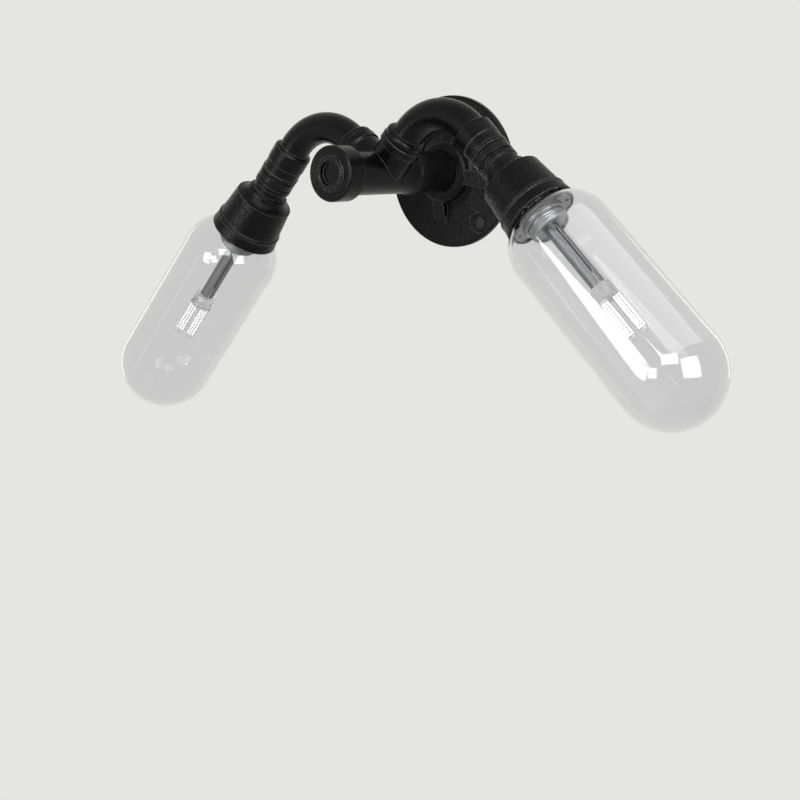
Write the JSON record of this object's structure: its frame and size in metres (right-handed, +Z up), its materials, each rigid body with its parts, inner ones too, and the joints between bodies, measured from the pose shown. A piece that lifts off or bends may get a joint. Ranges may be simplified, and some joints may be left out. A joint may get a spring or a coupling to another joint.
{
  "type": "pipe wall light",
  "caption": "Industrial pipe wall light: a round flange carries a tee with two elbow arms, each with a bell and a clear glass shade over a capsule bulb.",
  "frame": {"origin": "centre of the flange's back, in the wall plane", "axes": "+X right as seen facing the wall, +Y into the wall, +Z up"},
  "size_m": [0.5932, 0.1636, 0.2538],
  "materials": {
    "black_iron": "satin black over a fine cast grain",
    "black_pipe": "satin black, turned smooth",
    "steel": "bright zinc-plated steel",
    "alloy": "turned light alloy",
    "brass": "plain brass",
    "ceramic": null,
    "lead_rubber": "soft insulation",
    "gasket_rubber": "soft rubber",
    "shade_glass": "clear blown glass",
    "bulb_glass": "clear moulded glass",
    "light_strip": "pale warm light strip"
  },
  "bodies": {
    "base": {"wall_flange": "black_iron", "flange_screws": "steel", "wall_neck": "black_pipe", "side_outlet_tee": "black_iron", "terminal_block": "ceramic", "terminal_screws": "brass", "block_screws": "steel", "earth_screw": "brass", "supply_lead_right": "lead_rubber", "outlet_nipple_right": "steel", "supply_lead_left": "lead_rubber", "outlet_nipple_left": "steel"},
    "cap": {"front_cap": "black_iron"},
    "arm_right": {"elbow_right": "black_iron", "arm_lead_right": "lead_rubber"},
    "lamp_right": {"drop_nipple_right": "black_pipe", "swivel_collar_right": "black_pipe", "bell_right": "black_iron", "bell_nut_right": "steel", "lamp_holder_right": "alloy", "bridge_right": "steel", "bridge_ring_right": "alloy", "stem_right": "steel", "stem_nut_right": "steel", "stem_wires_right": "lead_rubber", "lamp_socket_right": "ceramic", "gasket_right": "gasket_rubber"},
    "shade_right": {"glass_shade_right": "shade_glass"},
    "bulb_right": {"bulb_base_right": "bulb_glass", "bulb_pins_right": "steel", "bulb_fingers_right": "bulb_glass", "bulb_strips_right": "light_strip"},
    "arm_left": {"elbow_left": "black_iron", "arm_lead_left": "lead_rubber"},
    "lamp_left": {"drop_nipple_left": "black_pipe", "swivel_collar_left": "black_pipe", "bell_left": "black_iron", "bell_nut_left": "steel", "lamp_holder_left": "alloy", "bridge_left": "steel", "bridge_ring_left": "alloy", "stem_left": "steel", "stem_nut_left": "steel", "stem_wires_left": "lead_rubber", "lamp_socket_left": "ceramic", "gasket_left": "gasket_rubber"},
    "shade_left": {"glass_shade_left": "shade_glass"},
    "bulb_left": {"bulb_base_left": "bulb_glass", "bulb_pins_left": "steel", "bulb_fingers_left": "bulb_glass", "bulb_strips_left": "light_strip"}
  },
  "joints": [
    {"name": "cap_unscrew", "type": "slide", "parent": "base", "child": "cap", "axis": [0, -1, 0], "range_m": [0, 0.03]},
    {"name": "arm_turn_right", "type": "hinge", "parent": "base", "child": "arm_right", "pos_m": [0, -0.09, 0], "axis": [-0.7314, 0, -0.682], "range_deg": [-10, 60]},
    {"name": "lamp_turn_right", "type": "hinge", "parent": "arm_right", "child": "lamp_right", "pos_m": [0.06231, -0.09, 0.05811], "axis": [0.6813, -0.0436, -0.7307], "range_deg": [-170, 170]},
    {"name": "shade_off_right", "type": "slide", "parent": "lamp_right", "child": "shade_right", "axis": [0.6813, -0.0436, -0.7307], "range_m": [0, 0.15]},
    {"name": "bulb_off_right", "type": "slide", "parent": "lamp_right", "child": "bulb_right", "axis": [0.6813, -0.0436, -0.7307], "range_m": [0, 0.012]},
    {"name": "arm_turn_left", "type": "hinge", "parent": "base", "child": "arm_left", "pos_m": [0, -0.09, 0], "axis": [-0.7314, 0, 0.682], "range_deg": [-10, 60]},
    {"name": "lamp_turn_left", "type": "hinge", "parent": "arm_left", "child": "lamp_left", "pos_m": [-0.06231, -0.09, 0.05811], "axis": [-0.6813, -0.0436, -0.7307], "range_deg": [-170, 170]},
    {"name": "shade_off_left", "type": "slide", "parent": "lamp_left", "child": "shade_left", "axis": [-0.6813, -0.0436, -0.7307], "range_m": [0, 0.15]},
    {"name": "bulb_off_left", "type": "slide", "parent": "lamp_left", "child": "bulb_left", "axis": [-0.6813, -0.0436, -0.7307], "range_m": [0, 0.012]}
  ]
}
